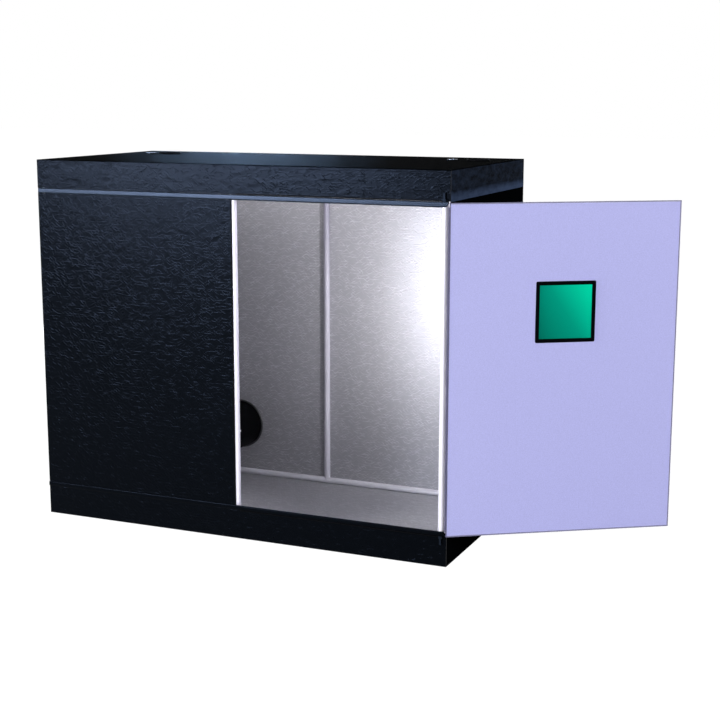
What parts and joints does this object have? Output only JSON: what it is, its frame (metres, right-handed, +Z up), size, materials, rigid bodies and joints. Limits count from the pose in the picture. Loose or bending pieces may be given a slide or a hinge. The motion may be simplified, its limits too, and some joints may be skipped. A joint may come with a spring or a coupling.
{
  "type": "indoor grow tent",
  "caption": "Low wide indoor grow tent: black fabric cover on a white tube frame, with a zipped front door that has a square window, a back duct port and roof ports.",
  "frame": {"origin": "middle of the footprint, on the floor", "axes": "+Z up, +X to the right seen from the front, -Y out of the front, where the door is"},
  "size_m": [1.6953, 0.6092, 1.002],
  "materials": {
    "white_powder_coated_steel": "satin powder coat",
    "white_moulded_nylon": "satin moulded",
    "black_coated_canvas": "crinkled polyurethane-coated weave",
    "white_reflective_lining": "crinkled reflective film",
    "lavender_lined_canvas": "matt lining with a fine grain",
    "slate_webbing": "padded strip",
    "black_zip_chain": "moulded coil",
    "black_zinc_slider": "enamelled casting",
    "black_sleeve_cloth": "woven cloth",
    "black_window_binding": "moulded edging",
    "green_window_film": "glossy light-filtering film"
  },
  "bodies": {
    "tent": {"back_floor_rail": "white_powder_coated_steel", "back_left_upright": "white_powder_coated_steel", "back_mid_upright": "white_powder_coated_steel", "back_port_ring": "black_sleeve_cloth", "back_port_sleeve": "black_sleeve_cloth", "back_right_upright": "white_powder_coated_steel", "back_roof_rail": "white_powder_coated_steel", "back_wall": "black_coated_canvas", "bottom_zip_chain": "black_zip_chain", "door_hinge_piping": "lavender_lined_canvas", "floor_back_left_connector": "white_moulded_nylon", "floor_back_right_connector": "white_moulded_nylon", "floor_front_left_connector": "white_moulded_nylon", "floor_front_right_connector": "white_moulded_nylon", "floor_sheet": "white_reflective_lining", "front_floor_rail": "white_powder_coated_steel", "front_left_lower_upright": "white_powder_coated_steel", "front_left_upper_upright": "white_powder_coated_steel", "front_mid_lower_upright": "white_powder_coated_steel", "front_mid_upper_upright": "white_powder_coated_steel", "front_panel": "black_coated_canvas", "front_right_lower_upright": "white_powder_coated_steel", "front_right_upper_upright": "white_powder_coated_steel", "front_roof_rail": "white_powder_coated_steel", "front_sill": "black_coated_canvas", "header_back": "black_coated_canvas", "header_front": "black_coated_canvas", "header_left": "black_coated_canvas", "header_right": "black_coated_canvas", "left_cable_eyelet": "black_zinc_slider", "left_floor_rail": "white_powder_coated_steel", "left_roof_port_ring": "black_sleeve_cloth", "left_roof_port_sleeve": "black_sleeve_cloth", "left_roof_rail": "white_powder_coated_steel", "left_wall": "black_coated_canvas", "right_cable_eyelet": "black_zinc_slider", "right_floor_rail": "white_powder_coated_steel", "right_roof_port_ring": "black_sleeve_cloth", "right_roof_port_sleeve": "black_sleeve_cloth", "right_roof_rail": "white_powder_coated_steel", "right_wall": "black_coated_canvas", "roof_back_left_connector": "white_moulded_nylon", "roof_back_right_connector": "white_moulded_nylon", "roof_front_left_connector": "white_moulded_nylon", "roof_front_right_connector": "white_moulded_nylon", "roof_panel": "black_coated_canvas", "side_zip_chain": "black_zip_chain", "top_baffle_strip": "slate_webbing", "top_zip_chain": "black_zip_chain"},
    "door": {"door_panel": "lavender_lined_canvas", "door_zip_chain": "black_zip_chain", "window_frame": "black_window_binding", "window_pane": "green_window_film"},
    "upper_zip_pull": {"upper_zip_slider": "black_zinc_slider"},
    "lower_zip_pull": {"lower_zip_slider": "black_zinc_slider"},
    "left_bar": {"left_hanging_bar": "white_powder_coated_steel"},
    "right_bar": {"right_hanging_bar": "white_powder_coated_steel"},
    "left_button": {"front_left_lock_button": "white_moulded_nylon"},
    "mid_button": {"front_mid_lock_button": "white_moulded_nylon"},
    "right_button": {"front_right_lock_button": "white_moulded_nylon"}
  },
  "joints": [
    {"name": "door_swing", "type": "hinge", "parent": "tent", "child": "door", "pos_m": [0.601, -0.306, 0.5], "axis": [0, 0, 1], "range_deg": [-212.9, 42]},
    {"name": "upper_zip_slide", "type": "slide", "parent": "tent", "child": "upper_zip_pull", "axis": [-1, 0, 0], "range_m": [0, 0.56]},
    {"name": "lower_zip_slide", "type": "slide", "parent": "tent", "child": "lower_zip_pull", "axis": [-1, 0, 0], "range_m": [0, 0.56]},
    {"name": "left_bar_slide", "type": "slide", "parent": "tent", "child": "left_bar", "axis": [1, 0, 0], "range_m": [-0.115, 0.27]},
    {"name": "right_bar_slide", "type": "slide", "parent": "tent", "child": "right_bar", "axis": [1, 0, 0], "range_m": [-0.27, 0.165]},
    {"name": "left_button_press", "type": "slide", "parent": "tent", "child": "left_button", "axis": [1, 0, 0], "range_m": [-0.0022, 0], "stiffness_N_per_m": 600, "springref_m": 0.001},
    {"name": "mid_button_press", "type": "slide", "parent": "tent", "child": "mid_button", "axis": [1, 0, 0], "range_m": [-0.0022, 0], "stiffness_N_per_m": 600, "springref_m": 0.001},
    {"name": "right_button_press", "type": "slide", "parent": "tent", "child": "right_button", "axis": [1, 0, 0], "range_m": [-0.0022, 0], "stiffness_N_per_m": 600, "springref_m": 0.001}
  ]
}
